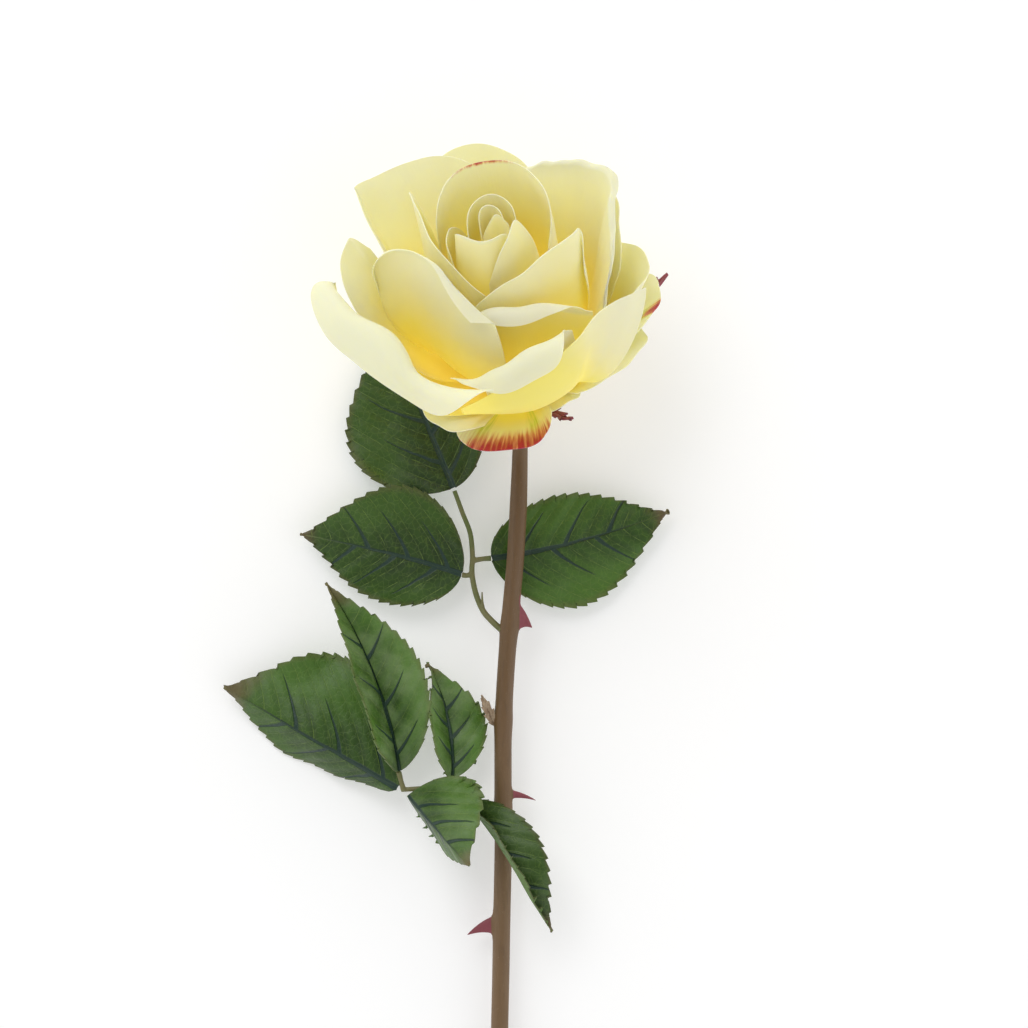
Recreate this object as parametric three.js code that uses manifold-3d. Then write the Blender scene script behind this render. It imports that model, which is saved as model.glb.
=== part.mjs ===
// A cut rose in open bloom, laid on its side on a flat surface: stem with prickles, two
// compound leaves, hip, five sepals and a head of separate petals. Millimetres, +Z up.
// +Y runs along the stem towards the bloom, +X is to the right as the rose is looked down on.
import * as THREE from "three";
import { ParametricGeometry } from "three/addons/geometries/ParametricGeometry.js";
import { mergeVertices } from "three/addons/utils/BufferGeometryUtils.js";
import Module from "manifold-3d";

const wasm = await Module();
wasm.setup();

// ---- Driving dimensions -------------------------------------------------------------------
const STEM_LENGTH = 324; // along Y, from the hip's centre to the cut end
const STEM_RADIUS_CUT = 3;
const STEM_RADIUS_NECK = 2.3;
const HIP_RADIUS = 7; // across the head's axis
const HIP_HALF_HEIGHT = 8; // along the head's axis
const HEAD_NOD = 48.3; // degrees that the head's axis tips from straight up towards +Y
const HEAD_LEAN = 9.2; // degrees that the head turns to the left, about Z
const PETAL_THICKNESS = 0.7;
const LEAF_THICKNESS = 0.6;
const SEPAL_THICKNESS = 0.8;
const CLEARANCE = 0.35; // gap between pieces that touch
const STALK_RADIUS = 1.1;
const STALK_TUCK = 0.7; // how far a stalk's slanted end leans in over the stem's bark

const COLOURS = {
  petal: { color: 0xf3eab0, roughness: 0.62, metalness: 0 },
  leaf: { color: 0x3f6b22, roughness: 0.45, metalness: 0 },
  stem: { color: 0x7d6242, roughness: 0.55, metalness: 0 },
  stalk: { color: 0x6d7a35, roughness: 0.55, metalness: 0 },
  sepal: { color: 0x7a3a3c, roughness: 0.6, metalness: 0 },
  hip: { color: 0x7b7a3c, roughness: 0.55, metalness: 0 },
  bract: { color: 0xc2a57c, roughness: 0.8, metalness: 0 },
};

const rad = THREE.MathUtils.degToRad;
const { clamp, lerp } = THREE.MathUtils;

function addMesh(parent, name, geometry, colours) {
  const mesh = new THREE.Mesh(geometry, new THREE.MeshStandardMaterial(colours));
  mesh.name = name;
  parent.add(mesh);
  return mesh;
}

// ---- Thin shells --------------------------------------------------------------------------
// A sheet given by surface(u, v), u from -1 to 1 across and v from 0 to 1 along, becomes one
// closed shell. The loop runs out along one face and back along the other, and the thickness
// runs out to nothing at every edge, where the two faces meet.
function shellGeometry(surface, thickness, across, along) {
  const step = 1e-3;
  const [a, b, c, d] = [0, 1, 2, 3].map(() => new THREE.Vector3());
  return new ParametricGeometry(
    (loop, v, target) => {
      const face = loop < 0.5 ? 1 : -1;
      const u = clamp(face > 0 ? 4 * loop - 1 : 3 - 4 * loop, -1, 1);
      surface(clamp(u - step, -1, 1), v, a);
      surface(clamp(u + step, -1, 1), v, b);
      surface(u, clamp(v - step, 0, 1), c);
      surface(u, clamp(v + step, 0, 1), d);
      const normal = b.sub(a).cross(d.sub(c)).normalize();
      const taper = Math.sqrt(Math.max(0, (1 - u ** 6) * (1 - (2 * v - 1) ** 8)));
      surface(u, v, target);
      target.addScaledVector(normal, (face * taper * thickness) / 2);
    },
    2 * across,
    along,
  );
}

// ---- Petals -------------------------------------------------------------------------------
// The head's own frame has its origin at the hip's centre and z along its axis. Azimuth 0 is
// the side turned up and away from the bloom's top, and azimuth runs to the right from there.
// A petal's rim is a row of [azimuth, radius, height] points from its left end to its right.
// It starts on the hip at polar angle seat, leaning out from the axis by the first angle of
// lean and reaching the rim at the second. Past the rim, lip gives the length that rolls on
// outwards and roll the angle it turns through, each at even steps from left to right. bulge
// is how much wider the petal's left and right sides are half way up than a straight wedge.
const PETALS = {
  petal_core: {
    seat: 9, lean: [8, 0],
    rim: [[60, 2.4, 60], [110, 3, 65], [160, 4, 68], [210, 5, 69], [250, 5.3, 67], [285, 4.9, 61]],
  },
  petal_bud_1: {
    seat: 17, lean: [18, -4],
    rim: [[-75, 4.6, 58], [-35, 5.2, 66], [5, 5.6, 72], [45, 5.2, 67], [85, 4.6, 59]],
  },
  petal_bud_2: {
    seat: 24, lean: [24, -4], across: 10,
    rim: [[78, 6.4, 58], [115, 7.2, 66], [150, 8, 69], [185, 8.6, 70], [220, 8.8, 69], [255, 9, 66],
      [290, 9, 58]],
  },
  petal_bud_3: {
    seat: 31, lean: [40, -4],
    rim: [[-92, 12, 60], [-66, 14, 67], [-38, 14.2, 68], [-10, 13.6, 68.5], [16, 12.4, 68.5],
      [38, 11, 60]],
  },
  petal_bud_4: {
    seat: 37, lean: [44, 0],
    rim: [[-136, 12, 52], [-114, 14, 61], [-92, 16, 63], [-72, 17, 60], [-60, 17, 53]],
  },
  petal_bud_5: {
    seat: 43, lean: [48, 0],
    rim: [[-18, 16.4, 52], [-4, 16.4, 62], [10, 16, 69], [24, 14.8, 75], [38, 15, 70],
      [50, 15.4, 62], [58, 15, 52]],
  },
  petal_heart_1: {
    seat: 49, lean: [52, 2], across: 9,
    rim: [[76, 17.2, 56], [100, 18.6, 67], [126, 19.4, 72], [154, 20, 74], [182, 20.8, 74],
      [208, 21.4, 73], [234, 20.6, 70], [256, 19, 62]],
  },
  petal_heart_2: {
    seat: 54, lean: [60, 8],
    rim: [[-130, 24, 44], [-124, 28, 62], [-116, 29.5, 73], [-97, 24.5, 68], [-72, 21, 64],
      [-46, 20.4, 58], [-20, 20.2, 50]],
  },
  petal_heart_3: {
    seat: 59, lean: [64, 4],
    rim: [[-38, 23, 42], [-20, 22.8, 50], [0, 22.6, 57], [20, 22.8, 60.5], [40, 24, 63.5],
      [58, 28, 67], [66, 30, 65], [60, 31, 49]],
  },
  petal_mid_1: {
    seat: 64, lean: [70, -2],
    rim: [[-44, 25.6, 38], [-26, 25.2, 45], [-8, 25.2, 47.5], [11, 26, 48], [29, 30, 46], [46, 38, 42]],
    lip: [0, 3, 9, 9, 6, 0], roll: [0, 100, 160, 150, 120, 0], bulge: [0, 0], across: 9,
  },
  petal_mid_2: {
    seat: 68, lean: [75, -2],
    rim: [[-94, 42, 40], [-92, 42.5, 51], [-88, 36, 59], [-77, 27.5, 62.5], [-60, 25.5, 62],
      [-40, 28.2, 56], [-23, 32.8, 49]],
    lip: [0, 1, 1, 1.2, 1.8, 1.8, 1], roll: [0, 60, 60, 70, 100, 110, 60], bulge: [0.3, 0.3], across: 8,
  },
  petal_mid_3: {
    seat: 67, lean: [72, 22],
    rim: [[62, 35, 32], [74, 36, 42], [89, 37, 49], [103, 39, 56.5], [116, 43, 61.5],
      [130, 39.5, 62], [143, 34.5, 62], [156, 31, 61], [168, 28, 55]],
    lip: [0, 1, 2, 3, 5, 6, 6, 4, 0], roll: [0, 40, 70, 100, 130, 140, 140, 110, 0], across: 9,
  },
  petal_mid_4: {
    seat: 71, lean: [76, 30], across: 9,
    rim: [[176, 38, 52], [187, 42, 59], [199, 48, 61], [211, 51.5, 61.5], [222, 54, 61],
      [229.5, 57.5, 60], [231.5, 56, 58], [240, 46, 50], [252, 38, 45]],
  },
  petal_outer_1: {
    seat: 75, lean: [82, 26],
    rim: [[-122, 50, 42], [-115, 52, 50], [-108, 52.5, 54], [-100, 53, 51], [-92, 52, 45],
      [-82, 47, 36], [-72, 42, 28]],
  },
  petal_outer_2: {
    seat: 73, lean: [78, -14],
    rim: [[-36, 38, 28], [-23, 41, 32.5], [-9, 42, 36], [4, 41.6, 39.5], [16, 41, 42.5], [27, 39, 42]],
    lip: [0, 6, 14, 16, 12, 0], roll: [0, 150, 180, 185, 160, 0],
  },
  petal_outer_3: {
    seat: 82, lean: [83, -6], across: 9,
    rim: [[-100, 57, 40], [-90, 55, 45], [-77, 51, 46], [-59, 47.5, 44.5], [-41, 47, 41],
      [-25, 49, 36], [-10, 50, 33]],
    lip: [2, 11, 19, 23, 21, 13, 2], roll: [30, 130, 175, 180, 180, 160, 60], bulge: [0.1, -0.7],
  },
  petal_outer_4: {
    seat: 78, lean: [80, 0],
    rim: [[-30, 41, 18], [-16, 44, 27.5], [-1, 45.5, 34.5], [13, 45.5, 38], [27, 43.5, 42],
      [39, 42, 45.5], [52, 44, 45.5], [62, 47, 44], [70.5, 49.5, 41]],
    bulge: [0, -0.6], across: 9,
  },
  petal_outer_5: {
    seat: 75, lean: [78, 22],
    rim: [[62, 37, 24], [73, 42, 33], [83, 46.5, 37], [93, 48, 37.5], [103, 47, 38], [114, 45, 33]],
  },
  petal_outer_6: {
    seat: 72, lean: [74, 24],
    rim: [[88, 38.5, 38], [98, 41, 45], [110, 44.5, 49.5], [123, 48, 50], [136, 49, 47], [147, 46, 40]],
  },
  petal_outer_7: {
    seat: 79, lean: [82, 24],
    rim: [[154, 44, 40], [165, 50, 50], [176, 55, 54.5], [186, 57, 55], [197, 57, 52], [209, 54, 44]],
  },
  petal_guard_1: {
    seat: 98, lean: [97, 60],
    rim: [[38, 29, 6], [48, 35, 9], [58, 40, 11.5], [67, 43.5, 13.5], [76, 45.5, 15], [84, 43, 14]],
  },
  petal_guard_2: {
    seat: 90, lean: [88, 50],
    rim: [[70, 41, 18], [77, 46.5, 22], [84, 50, 24], [92, 51, 25], [102, 50, 24.5], [111, 45, 22]],
  },
  petal_guard_3: {
    seat: 92, lean: [92, 84],
    rim: [[-68, 35, 8], [-57, 40, 9], [-46, 42.5, 8.5], [-38, 43, 8], [-30, 40, 7], [-24, 34, 5.5]],
  },
  petal_guard_4: {
    seat: 100, lean: [98, 88],
    rim: [[-46, 31, 3], [-37, 38, 2.5], [-26, 41, 2], [-12, 41, 1.5], [1, 39.5, 2], [11, 35, 2.5],
      [19, 27, 3]],
  },
  petal_guard_5: {
    seat: 107, lean: [102, 70],
    rim: [[6, 20, -3], [18, 24, -0.5], [30, 27, 2.5], [40, 29, 4], [49, 26, 2]],
  },
  petal_guard_6: {
    seat: 96, lean: [94, 80],
    rim: [[122, 42, 14], [136, 50, 13], [150, 54, 11], [164, 50, 10], [178, 42, 11]],
  },
  petal_guard_7: {
    seat: 101, lean: [98, 84],
    rim: [[182, 42, 5], [196, 50, 5], [208, 53, 5], [222, 48, 7], [233, 40, 9]],
  },
  petal_guard_8: {
    seat: 95, lean: [94, 70],
    rim: [[246, 36, 5], [256, 42, 7], [267, 44, 8], [278, 42, 7], [288, 35, 5]],
  },
};
const HIP_SEAT = HIP_RADIUS + CLEARANCE;
const RIMS_SET_ON = 7; // hip radius that the petals' rims are given for
const HIP_TOP_SEAT = HIP_HALF_HEIGHT + CLEARANCE;
const LIP_START = 0.68; // how far along a petal its rim comes, where it has a lip
const LIP_STEPS = 16;
const LIP_LEAST = 0.8; // a lip never runs out to nothing, so that its edge stays a clean one

// A smooth run through evenly spaced values, or through the numbers of evenly spaced rows.
function smoothRun(values, t) {
  const last = values.length - 1;
  const at = clamp(t, 0, 1) * last;
  const i = Math.min(Math.floor(at), last - 1);
  const s = at - i;
  const pick = (k) => {
    if (k < 0) return 2 * values[0] - values[1];
    if (k > last) return 2 * values[last] - values[last - 1];
    return values[k];
  };
  const [a, b, c, d] = [pick(i - 1), pick(i), pick(i + 1), pick(i + 2)];
  return b + 0.5 * s * (c - a + s * (2 * a - 5 * b + 4 * c - d + s * (3 * (b - c) + d - a)));
}

function bezier(a, b, c, d, t) {
  const s = 1 - t;
  return a * s ** 3 + 3 * b * t * s ** 2 + 3 * c * t ** 2 * s + d * t ** 3;
}

function petalSurface(p) {
  const footRadius = HIP_SEAT * Math.sin(rad(p.seat));
  const footHeight = HIP_TOP_SEAT * Math.cos(rad(p.seat));
  const [azimuths, radii, heights] = [0, 1, 2].map((k) => p.rim.map((point) => point[k]));
  const [footLean, rimLean] = p.lean.map(rad);
  const middle = smoothRun(azimuths, 0.5);
  const [bulgeLeft, bulgeRight] = p.bulge ?? [0.1, 0.1];
  return (u, v, target) => {
    const t = (u + 1) / 2;
    const bulge = lerp(bulgeLeft, bulgeRight, THREE.MathUtils.smoothstep(t, 0, 1));
    const widen = 1 + bulge * Math.sin(Math.PI * v);
    const az = rad(middle + (smoothRun(azimuths, t) - middle) * widen);
    const rimRadius = smoothRun(radii, t) + HIP_RADIUS - RIMS_SET_ON;
    const rimHeight = smoothRun(heights, t);
    const lip = p.lip ? Math.max(LIP_LEAST, smoothRun(p.lip, t)) : 0;
    const roll = p.roll ? rad(Math.max(0, smoothRun(p.roll, t))) : 0;
    const start = p.lip ? LIP_START : 1;
    const s = Math.min(1, v / start);
    const reach = 0.45 * Math.hypot(rimRadius - footRadius, rimHeight - footHeight);
    let radius = bezier(
      footRadius,
      footRadius + reach * Math.sin(footLean),
      rimRadius - reach * Math.sin(rimLean),
      rimRadius,
      s,
    );
    const climb = Math.max(0, rimHeight - footHeight);
    const rise = Math.min(reach * Math.cos(rimLean), (0.45 * climb * climb) / reach);
    let height = bezier(
      footHeight,
      footHeight + reach * Math.cos(footLean),
      rimHeight - rise,
      rimHeight,
      s,
    );
    // The lip turns fastest where it starts, and runs out nearly straight to its edge.
    const past = Math.max(0, (v - start) / (1 - start));
    for (let i = 0; i < LIP_STEPS && past > 0; i++) {
      const turned = rimLean + roll * Math.sin((Math.PI / 2) * ((i + 0.5) / LIP_STEPS) * past);
      radius += (Math.sin(turned) * lip * past) / LIP_STEPS;
      height += (Math.cos(turned) * lip * past) / LIP_STEPS;
    }
    target.set(radius * Math.sin(az), -radius * Math.cos(az), height);
  };
}

// ---- The head -----------------------------------------------------------------------------
const rose = new THREE.Group();
const head = new THREE.Group();
head.rotation.set(-rad(HEAD_NOD), 0, rad(HEAD_LEAN), "ZXY");
rose.add(head);

const hip = addMesh(head, "hip", new THREE.SphereGeometry(1, 14, 10), COLOURS.hip);
hip.geometry.rotateX(Math.PI / 2);
hip.scale.set(HIP_RADIUS, HIP_RADIUS, HIP_HALF_HEIGHT);

for (const [name, petal] of Object.entries(PETALS)) {
  const geometry = shellGeometry(petalSurface(petal), PETAL_THICKNESS, petal.across ?? 7, 8);
  addMesh(head, name, geometry, COLOURS.petal);
}

// ---- Blades: leaflets, sepals and the dry bract -------------------------------------------
// A blade runs from its base to its tip. Seen with its upper face towards the viewer and its
// tip away, left and right are its half widths, and tilt turns each half up about the midrib.
// arch lifts its middle and bow moves it sideways. widest is a power: a larger one sets its
// widest part nearer the tip.
function bladeSurface(blade) {
  const base = new THREE.Vector3(...blade.base);
  const tip = new THREE.Vector3(...blade.tip);
  const ahead = tip.clone().sub(base);
  const length = ahead.length();
  ahead.normalize();
  const right = ahead.clone().cross(new THREE.Vector3(0, 0, 1)).normalize();
  const up = right.clone().cross(ahead);
  const { arch = 0, bow = 0, tilt = [0, 0], widest = 0.78 } = blade;
  return (u, v, target) => {
    const outline = Math.sin(Math.PI * v ** widest) ** lerp(0.62, 1.2, v);
    const half = (u < 0 ? blade.left : blade.right) * Math.max(outline, 0.04 * (1 - v));
    const lift = rad(u < 0 ? tilt[0] : tilt[1]);
    const curl = 4 * v * (1 - v);
    target.copy(base).addScaledVector(ahead, length * v);
    target.addScaledVector(right, u * half * Math.cos(lift) + bow * curl);
    target.addScaledVector(up, Math.abs(u) * half * Math.sin(lift) + arch * curl);
  };
}

// A solid rod along a smooth line, closed at both ends. radiusAt takes 0 to 1 along it.
function rodGeometry(line, radiusAt, around, along) {
  const side = new THREE.Vector3();
  const ahead = new THREE.Vector3();
  const up = new THREE.Vector3();
  return new ParametricGeometry(
    (turn, v, target) => {
      const row = Math.round(v * (along + 2));
      const t = clamp((row - 1) / along, 0, 1);
      const radius = row === 0 || row === along + 2 ? 0 : radiusAt(t);
      line.getPoint(t, target);
      line.getTangent(t, ahead);
      side.crossVectors(ahead, new THREE.Vector3(0, 0, 1)).normalize();
      up.crossVectors(side, ahead);
      const angle = (turn === 1 ? 0 : turn) * 2 * Math.PI;
      target.addScaledVector(side, -radius * Math.cos(angle));
      target.addScaledVector(up, radius * Math.sin(angle));
    },
    around,
    along + 2,
  );
}

const polar = (az, radius, height) => [
  radius * Math.sin(rad(az)),
  -radius * Math.cos(rad(az)),
  height,
];

// ---- Sepals -------------------------------------------------------------------------------
const SEPALS = {
  sepal_1: { az: 29, reach: 31, height: -1, width: 3.6, arch: -3 },
  sepal_2: { az: 105, reach: 57, height: 20, width: 7, arch: -4, widest: 2 },
  sepal_3: { az: 171, reach: 36, height: -2, width: 8, arch: -3 },
  sepal_4: { az: 243, reach: 36, height: -3, width: 8, arch: -3 },
  sepal_5: { az: 315, reach: 32, height: -6, width: 8, arch: -3 },
};
const SEPAL_SEAT = 125; // polar angle on the hip
for (const [name, sepal] of Object.entries(SEPALS)) {
  const seatRadius = HIP_SEAT * Math.sin(rad(SEPAL_SEAT));
  const seatHeight = HIP_TOP_SEAT * Math.cos(rad(SEPAL_SEAT));
  const blade = {
    base: polar(sepal.az, seatRadius, seatHeight),
    tip: polar(sepal.az, sepal.reach, sepal.height),
    left: sepal.width / 2,
    right: sepal.width / 2,
    arch: sepal.arch,
    tilt: [12, 12],
    widest: sepal.widest,
  };
  addMesh(head, name, shellGeometry(bladeSurface(blade), SEPAL_THICKNESS, 4, 8), COLOURS.sepal);
}

// ---- The stem -----------------------------------------------------------------------------
// The head rests on its lowest petals, and the stem comes down from the hip to its cut end.
head.updateMatrixWorld(true);
head.position.z = -new THREE.Box3().setFromObject(head, true).min.z;
head.updateMatrixWorld(true);

const neck = head.localToWorld(new THREE.Vector3(0, 0, -HIP_HALF_HEIGHT - CLEARANCE));
const STEM_RISE = 16; // of the centreline below the neck's bend
const STEM_SIDE = [1, 0.6, -0.5, -3.1, -5, -5, -5.2, -6, -6.3, -6.4, -6.4, -6.4]; // at even steps
const STEM_SIDE_RUN = 324; // how far down those steps reach; a longer stem runs on straight
const STEM_BENDS = [81, 119.88, 158.76]; // where it passes the leaves, down from the hip
const stemHeight = (y) => {
  const t = (-y - 30) / (STEM_LENGTH - 30);
  return lerp(STEM_RISE, STEM_RADIUS_CUT, t);
};
const stemSide = (y) => smoothRun(STEM_SIDE, -y / STEM_SIDE_RUN);
const stemAt = (y) => new THREE.Vector3(stemSide(y), y, stemHeight(y));
const stemLine = new THREE.CatmullRomCurve3([
  neck,
  neck.clone().add(new THREE.Vector3(0.1, -6.5, -4.6)),
  stemAt(-26),
  stemAt(-40),
  ...STEM_BENDS.map((down) => stemAt(-down)),
  ...[0.7, 0.85, 1].map((t) => stemAt(-STEM_LENGTH * t)),
]);
const stemRadius = (t) => {
  const swell = THREE.MathUtils.smoothstep(t, 0, 0.4);
  return lerp(STEM_RADIUS_NECK, STEM_RADIUS_CUT, swell);
};
const stemGeometry = rodGeometry(stemLine, stemRadius, 10, 26);

const toManifold = (geometry) => {
  const bare = new THREE.BufferGeometry();
  bare.setAttribute("position", geometry.getAttribute("position").clone());
  bare.setIndex(geometry.getIndex());
  const merged = mergeVertices(bare, 1e-3);
  const corners = Array.from(merged.getIndex().array);
  const kept = [];
  for (let i = 0; i < corners.length; i += 3) {
    const [a, b, c] = corners.slice(i, i + 3);
    if (a !== b && b !== c && a !== c) kept.push(a, b, c);
  }
  return new wasm.Manifold(
    new wasm.Mesh({
      numProp: 3,
      vertProperties: new Float32Array(merged.getAttribute("position").array),
      triVerts: new Uint32Array(kept),
    }),
  );
};

const fromManifold = (solid) => {
  const mesh = solid.getMesh();
  const geometry = new THREE.BufferGeometry();
  geometry.setAttribute("position", new THREE.BufferAttribute(mesh.vertProperties, 3));
  geometry.setIndex(new THREE.BufferAttribute(mesh.triVerts, 1));
  const flat = geometry.toNonIndexed();
  flat.computeVertexNormals();
  return flat;
};

// Prickles grow out of the stem's bark and hook back towards the cut end. Each is given by
// where it stands along the stem, its side, its reach from the centreline and its foot.
const PRICKLES = [
  { y: -83, side: 1, reach: 7.4, foot: 9 },
  { y: -144, side: 1, reach: 11.4, foot: 5 },
  { y: -190, side: -1, reach: 12, foot: 8 },
];
const PRICKLE_FLATNESS = 0.4;
let stemSolid = toManifold(stemGeometry);
for (const { y, side, reach, foot } of PRICKLES) {
  const root = stemAt(y);
  const line = new THREE.CatmullRomCurve3([
    new THREE.Vector3(0, 0, 0),
    new THREE.Vector3(side * reach * 0.5, -foot * 0.1, 0),
    new THREE.Vector3(side * reach, -foot * 0.45, 0),
  ]);
  const prickle = rodGeometry(line, (t) => (foot / 2) * (1 - 0.97 * t ** 0.75), 8, 6);
  prickle.scale(1, 1, PRICKLE_FLATNESS);
  prickle.translate(root.x, root.y, root.z + 0.5);
  stemSolid = stemSolid.add(toManifold(prickle));
}
addMesh(rose, "stem", fromManifold(stemSolid), COLOURS.stem);

// ---- Leaves -------------------------------------------------------------------------------
const STALK_START = STEM_RADIUS_CUT + STALK_RADIUS - STALK_TUCK; // out from the centreline
// Each leaf hangs from a joint on the stem. Its stalk's points, and its leaflets' bases and
// tips, are measured from the stem's centreline at that joint.
const LEAVES = [
  {
    name: "upper",
    y: -87,
    stalks: [
      [[-STALK_START, 0, -0.5], [-6.3, 2.7, -1], [-9.1, 6.1, -2], [-11.5, 11.9, -3], [-12.8, 18.8, -3.8],
        [-12.6, 24.5, -4], [-13.4, 32.4, -4], [-16, 39.3, -3.7], [-18.8, 47, -3.5]],
      [[-12.6, 23, -4], [-9, 23.6, -4], [-6.6, 23.8, -4]],
      [[-12.8, 18.6, -3.8], [-14.4, 17.9, -3.8], [-15.8, 18.1, -3.6]],
      [[-8.8, 6.4, -2], [-9.2, 9, -0.6], [-9.3, 12.4, 0.4]],
    ],
    leaflets: [
      { base: [-19.2, 48, -3.4], tip: [-43, 104, -9], left: 28, right: 20, arch: -1, tilt: [-2, 4] },
      { base: [-16.4, 18.4, -3.4], tip: [-72, 32, -7], left: 17, right: 24, arch: 1.5, tilt: [-6, 2],
        bow: 1 },
      { base: [-5.9, 23.8, -4], tip: [55, 40, -6], left: 17, right: 22, arch: -1.5, tilt: [-2, -4], bow: 2 },
    ],
  },
  {
    name: "lower",
    y: -149.5,
    stalks: [
      [[-STALK_START, 0, 0], [-11.2, 4.1, 0.8], [-18, 7.2, 1.2], [-26.5, 7.5, 1.6], [-35, 7, 1.6]],
      [[-34.2, 7, 1.6], [-35, 10, 2.2], [-35.6, 12.6, 2.8]],
      [[-18, 7.2, 1.2], [-18, 9, 1.2], [-18, 10.2, 1.2]],
    ],
    leaflets: [
      { base: [-36.4, 7.6, 1.6], tip: [-96, 42, -4], left: 14, right: 30, arch: 2, tilt: [-50, -6],
        widest: 1.1 },
      { base: [-36, 13.6, 3], tip: [-60.5, 78, 9], left: 15, right: 17, arch: 3, tilt: [66, 8], bow: 4 },
      { base: [-18, 11, 1.2], tip: [-26, 50, -2], left: 12, right: 13, arch: 0, tilt: [62, -8], bow: 3 },
      { base: [-33, 5, 3.3], tip: [-11.5, -17, 26], left: 21, right: 14, arch: 2, tilt: [-8, -74] },
      { base: [-11.4, 2.2, 0.8], tip: [16.5, -41, 6], left: 13, right: 9, arch: 9, tilt: [8, 104], bow: -1 },
    ],
  },
];
for (const { name, y, stalks, leaflets } of LEAVES) {
  const joint = stemAt(y);
  const place = (point) => joint.clone().add(new THREE.Vector3(...point));
  const rods = stalks.map((points, i) => {
    const line = new THREE.CatmullRomCurve3(points.map(place));
    const thin = name === "upper" && i === 3;
    const radiusAt = thin ? (t) => lerp(0.5, 0.12, t) : (t) => lerp(STALK_RADIUS, 0.8, t);
    return toManifold(rodGeometry(line, radiusAt, 7, i === 0 ? 14 : 3));
  });
  const stalk = rods.reduce((solid, rod) => solid.add(rod));
  addMesh(rose, `${name}_leaf_stalk`, fromManifold(stalk), COLOURS.stalk);
  leaflets.forEach((leaflet, i) => {
    const blade = {
      ...leaflet,
      base: place(leaflet.base).toArray(),
      tip: place(leaflet.tip).toArray(),
    };
    const geometry = shellGeometry(bladeSurface(blade), LEAF_THICKNESS, 4, 12);
    addMesh(rose, `${name}_leaflet_${i + 1}`, geometry, COLOURS.leaf);
  });
}

// ---- The dry bract ------------------------------------------------------------------------
const bractJoint = stemAt(-119);
const bract = {
  base: bractJoint.clone().add(new THREE.Vector3(-3.3, 0, 0)).toArray(),
  tip: bractJoint.clone().add(new THREE.Vector3(-7.5, 9, 1)).toArray(),
  left: 1.6,
  right: 1.6,
  arch: 0.5,
  tilt: [20, 20],
};
addMesh(rose, "dry_bract", shellGeometry(bladeSurface(bract), SEPAL_THICKNESS, 3, 6), COLOURS.bract);

// ---- The origin goes to the middle of the rose's underside --------------------------------
rose.updateMatrixWorld(true);
const box = new THREE.Box3().setFromObject(rose, true);
rose.position.set(-(box.min.x + box.max.x) / 2, -(box.min.y + box.max.y) / 2, -box.min.z);

export default rose;
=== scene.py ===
import math
import random

import bpy
import numpy as np
from mathutils import Matrix, Vector, noise


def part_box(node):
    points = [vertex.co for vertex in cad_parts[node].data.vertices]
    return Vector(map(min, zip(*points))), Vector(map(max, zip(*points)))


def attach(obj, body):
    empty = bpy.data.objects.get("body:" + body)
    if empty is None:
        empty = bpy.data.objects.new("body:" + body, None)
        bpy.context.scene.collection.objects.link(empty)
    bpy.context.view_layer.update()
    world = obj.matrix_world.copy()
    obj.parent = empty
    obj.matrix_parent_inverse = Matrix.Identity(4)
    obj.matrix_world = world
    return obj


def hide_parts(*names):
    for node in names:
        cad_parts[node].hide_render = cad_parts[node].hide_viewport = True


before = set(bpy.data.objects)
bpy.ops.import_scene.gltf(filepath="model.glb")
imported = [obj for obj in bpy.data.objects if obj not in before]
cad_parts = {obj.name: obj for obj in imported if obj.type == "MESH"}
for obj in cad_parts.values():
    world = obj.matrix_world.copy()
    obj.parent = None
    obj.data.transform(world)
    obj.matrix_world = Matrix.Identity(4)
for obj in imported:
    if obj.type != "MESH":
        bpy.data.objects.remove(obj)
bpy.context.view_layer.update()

# ---- The table, the light and the camera ---------------------------------------------------
# A white table top under a big soft window light from the upper left, with a weak fill from
# the lower right. The camera hangs a metre and a half above the bloom and looks straight down.
MM = 0.001
TABLE_DROP = 0.0003  # the table lies this far under the lowest petals
LENS = 155.4  # frames the bloom, the leaves and the stem's upper half
CAMERA_OFFSET = (-0.00135, -0.048, 1.5)
hip_low, hip_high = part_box("hip")
HIP_CENTRE = (hip_low + hip_high) / 2

bpy.ops.object.select_all(action="DESELECT")
bpy.ops.mesh.primitive_plane_add(size=8, location=(0, 0, -TABLE_DROP))
table_top = bpy.context.object
table_top.name = "table_top"
table_white = bpy.data.materials.new("table_white")
table_white.use_nodes = True
paint = table_white.node_tree.nodes["Principled BSDF"]
paint.inputs["Base Color"].default_value = (0.76, 0.76, 0.76, 1)
paint.inputs["Roughness"].default_value = 0.9
paint.inputs["Specular IOR Level"].default_value = 0.1
paint.inputs["Emission Color"].default_value = (1, 1, 1, 1)
paint.inputs["Emission Strength"].default_value = 0.3
table_top.data.materials.append(table_white)


def soft_light(name, offset, size, power):
    """A large soft lamp at an offset in metres from the hip, turned towards it."""
    place = HIP_CENTRE + Vector(offset)
    bpy.ops.object.light_add(type="AREA", location=place)
    lamp = bpy.context.object
    lamp.name = name
    lamp.rotation_euler = (HIP_CENTRE - place).to_track_quat("-Z", "Y").to_euler()
    lamp.data.size = size
    lamp.data.energy = power
    lamp.visible_camera = False


soft_light("window_light", (-0.55, 0.95, 1.3), 1.0, 8.5)
soft_light("fill_light", (0.8, -0.6, 1.3), 1.6, 2.5)
studio = bpy.data.worlds.new("studio")
bpy.context.scene.world = studio
studio.use_nodes = True
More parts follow.
